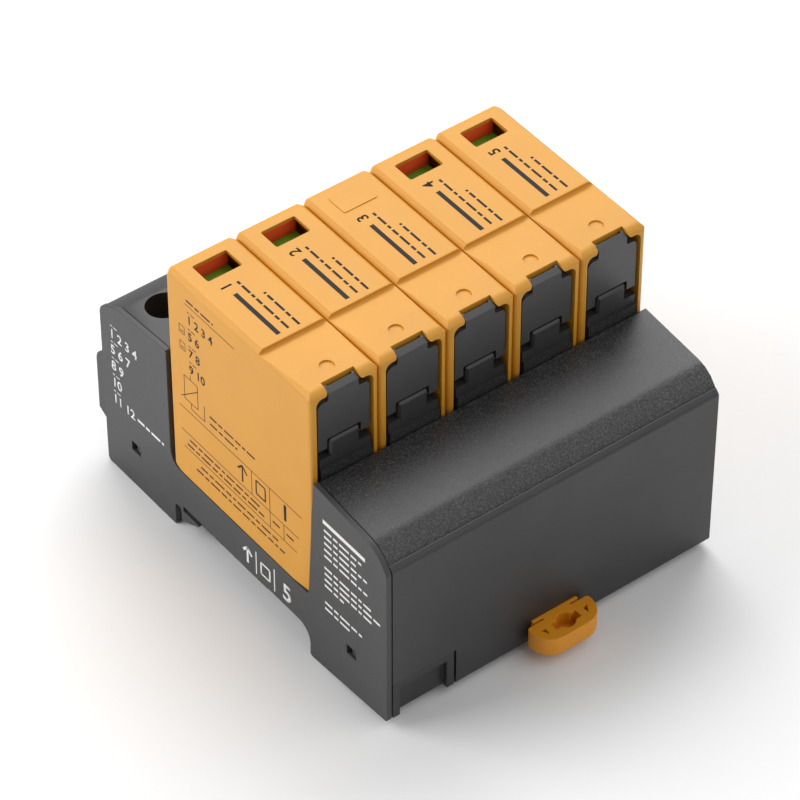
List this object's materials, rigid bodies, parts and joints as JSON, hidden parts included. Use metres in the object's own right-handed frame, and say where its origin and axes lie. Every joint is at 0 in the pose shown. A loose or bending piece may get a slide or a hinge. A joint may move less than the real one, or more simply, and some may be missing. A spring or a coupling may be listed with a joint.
{
  "type": "din rail surge arrester",
  "caption": "Pluggable surge arrester for a DIN rail: plug-in modules with release latches and status windows in a base with screw terminals and a sliding rail foot.",
  "frame": {"origin": "middle of the rail seat: on the rail's centreline, in the plane of the rail's front face, halfway along the base", "axes": "+X along the rail, -Y to the front with the foot's handle, +Z away from the rail"},
  "size_m": [0.0902, 0.1173, 0.0777],
  "materials": {
    "base_grey": "fine-textured dark grey moulded plastic",
    "cover_grey": "satin dark grey moulded plastic",
    "port_grey": "smooth dark grey moulded plastic",
    "foot_orange": "satin orange moulded plastic",
    "contact_brass": "stamped brass",
    "plated_steel": "zinc-plated folded steel",
    "screw_steel": "zinc-plated steel",
    "plug_orange": "satin orange moulded plastic",
    "plug_floor_orange": "satin orange moulded plastic",
    "tinned_blade": "tinned copper blade",
    "latch_grey": "satin dark grey moulded plastic",
    "varistor_coat": "dipped epoxy coat",
    "flag_red": "smooth red moulded plastic",
    "flag_green": "smooth green moulded plastic",
    "spark_ceramic": "glazed ceramic with metal end caps"
  },
  "bodies": {
    "base": {"base_housing": "base_grey", "end_cover": "cover_grey", "signal_port_blank": "port_grey", "common_busbar": "contact_brass", "terminal_bar_1": "contact_brass", "terminal_bar_2": "contact_brass", "terminal_bar_3": "contact_brass", "terminal_bar_4": "contact_brass", "terminal_bar_5": "contact_brass"},
    "foot": {"rail_foot": "foot_orange"},
    "plug_1": {"plug_housing_1": "plug_orange", "plug_floor_1": "plug_floor_orange", "blade_contacts_1": "tinned_blade", "varistor_1": "varistor_coat", "flag_backing_1": "flag_red"},
    "latch_1": {"latch_1": "latch_grey"},
    "screw_1": {"terminal_screw_1": "screw_steel"},
    "cage_1": {"clamp_cage_1": "plated_steel"},
    "plug_2": {"plug_housing_2": "plug_orange", "plug_floor_2": "plug_floor_orange", "blade_contacts_2": "tinned_blade", "varistor_2": "varistor_coat", "flag_backing_2": "flag_red"},
    "latch_2": {"latch_2": "latch_grey"},
    "screw_2": {"terminal_screw_2": "screw_steel"},
    "cage_2": {"clamp_cage_2": "plated_steel"},
    "plug_3": {"plug_housing_3": "plug_orange", "plug_floor_3": "plug_floor_orange", "blade_contacts_3": "tinned_blade", "spark_gap_3": "spark_ceramic"},
    "latch_3": {"latch_3": "latch_grey"},
    "screw_3": {"terminal_screw_3": "screw_steel"},
    "cage_3": {"clamp_cage_3": "plated_steel"},
    "plug_4": {"plug_housing_4": "plug_orange", "plug_floor_4": "plug_floor_orange", "blade_contacts_4": "tinned_blade", "varistor_4": "varistor_coat", "flag_backing_4": "flag_red"},
    "latch_4": {"latch_4": "latch_grey"},
    "screw_4": {"terminal_screw_4": "screw_steel"},
    "cage_4": {"clamp_cage_4": "plated_steel"},
    "plug_5": {"plug_housing_5": "plug_orange", "plug_floor_5": "plug_floor_orange", "blade_contacts_5": "tinned_blade", "varistor_5": "varistor_coat", "flag_backing_5": "flag_red"},
    "latch_5": {"latch_5": "latch_grey"},
    "screw_5": {"terminal_screw_5": "screw_steel"},
    "cage_5": {"clamp_cage_5": "plated_steel"},
    "flag_1": {"status_flag_1": "flag_green"},
    "flag_2": {"status_flag_2": "flag_green"},
    "flag_4": {"status_flag_4": "flag_green"},
    "flag_5": {"status_flag_5": "flag_green"}
  },
  "joints": [
    {"name": "foot_slide", "type": "slide", "parent": "base", "child": "foot", "axis": [0, -1, 0], "range_m": [0, 0.005], "stiffness_N_per_m": 800},
    {"name": "plug_1_lift", "type": "slide", "parent": "base", "child": "plug_1", "axis": [0, 0, 1], "range_m": [0, 0.06]},
    {"name": "latch_1_turn", "type": "hinge", "parent": "plug_1", "child": "latch_1", "pos_m": [-0.036, -0.0286, 0.0578], "axis": [1, 0, 0], "range_deg": [0, 12], "stiffness_Nm_per_rad": 0.02},
    {"name": "screw_1_turn", "type": "hinge", "parent": "base", "child": "screw_1", "pos_m": [-0.036, 0.035, 0.03], "axis": [0, 0, -1], "range_deg": [0, 2160]},
    {"name": "cage_1_rise", "type": "slide", "parent": "base", "child": "cage_1", "axis": [0, 0, 1], "range_m": [0, 0.0048]},
    {"name": "plug_2_lift", "type": "slide", "parent": "base", "child": "plug_2", "axis": [0, 0, 1], "range_m": [0, 0.06]},
    {"name": "latch_2_turn", "type": "hinge", "parent": "plug_2", "child": "latch_2", "pos_m": [-0.018, -0.0286, 0.0578], "axis": [1, 0, 0], "range_deg": [0, 12], "stiffness_Nm_per_rad": 0.02},
    {"name": "screw_2_turn", "type": "hinge", "parent": "base", "child": "screw_2", "pos_m": [-0.018, 0.035, 0.03], "axis": [0, 0, -1], "range_deg": [0, 2160]},
    {"name": "cage_2_rise", "type": "slide", "parent": "base", "child": "cage_2", "axis": [0, 0, 1], "range_m": [0, 0.0048]},
    {"name": "plug_3_lift", "type": "slide", "parent": "base", "child": "plug_3", "axis": [0, 0, 1], "range_m": [0, 0.06]},
    {"name": "latch_3_turn", "type": "hinge", "parent": "plug_3", "child": "latch_3", "pos_m": [0, -0.0286, 0.0578], "axis": [1, 0, 0], "range_deg": [0, 12], "stiffness_Nm_per_rad": 0.02},
    {"name": "screw_3_turn", "type": "hinge", "parent": "base", "child": "screw_3", "pos_m": [0, 0.035, 0.03], "axis": [0, 0, -1], "range_deg": [0, 2160]},
    {"name": "cage_3_rise", "type": "slide", "parent": "base", "child": "cage_3", "axis": [0, 0, 1], "range_m": [0, 0.0048]},
    {"name": "plug_4_lift", "type": "slide", "parent": "base", "child": "plug_4", "axis": [0, 0, 1], "range_m": [0, 0.06]},
    {"name": "latch_4_turn", "type": "hinge", "parent": "plug_4", "child": "latch_4", "pos_m": [0.018, -0.0286, 0.0578], "axis": [1, 0, 0], "range_deg": [0, 12], "stiffness_Nm_per_rad": 0.02},
    {"name": "screw_4_turn", "type": "hinge", "parent": "base", "child": "screw_4", "pos_m": [0.018, 0.035, 0.03], "axis": [0, 0, -1], "range_deg": [0, 2160]},
    {"name": "cage_4_rise", "type": "slide", "parent": "base", "child": "cage_4", "axis": [0, 0, 1], "range_m": [0, 0.0048]},
    {"name": "plug_5_lift", "type": "slide", "parent": "base", "child": "plug_5", "axis": [0, 0, 1], "range_m": [0, 0.06]},
    {"name": "latch_5_turn", "type": "hinge", "parent": "plug_5", "child": "latch_5", "pos_m": [0.036, -0.0286, 0.0578], "axis": [1, 0, 0], "range_deg": [0, 12], "stiffness_Nm_per_rad": 0.02},
    {"name": "screw_5_turn", "type": "hinge", "parent": "base", "child": "screw_5", "pos_m": [0.036, 0.035, 0.03], "axis": [0, 0, -1], "range_deg": [0, 2160]},
    {"name": "cage_5_rise", "type": "slide", "parent": "base", "child": "cage_5", "axis": [0, 0, 1], "range_m": [0, 0.0048]},
    {"name": "flag_1_slide", "type": "slide", "parent": "plug_1", "child": "flag_1", "axis": [0, -1, 0], "range_m": [0, 0.007]},
    {"name": "flag_2_slide", "type": "slide", "parent": "plug_2", "child": "flag_2", "axis": [0, -1, 0], "range_m": [0, 0.007]},
    {"name": "flag_4_slide", "type": "slide", "parent": "plug_4", "child": "flag_4", "axis": [0, -1, 0], "range_m": [0, 0.007]},
    {"name": "flag_5_slide", "type": "slide", "parent": "plug_5", "child": "flag_5", "axis": [0, -1, 0], "range_m": [0, 0.007]}
  ],
  "couplings": [
    {"joint": "screw_1_turn", "follows": "cage_1_rise", "rad_per_m": 7854},
    {"joint": "screw_2_turn", "follows": "cage_2_rise", "rad_per_m": 7854},
    {"joint": "screw_3_turn", "follows": "cage_3_rise", "rad_per_m": 7854},
    {"joint": "screw_4_turn", "follows": "cage_4_rise", "rad_per_m": 7854},
    {"joint": "screw_5_turn", "follows": "cage_5_rise", "rad_per_m": 7854}
  ]
}
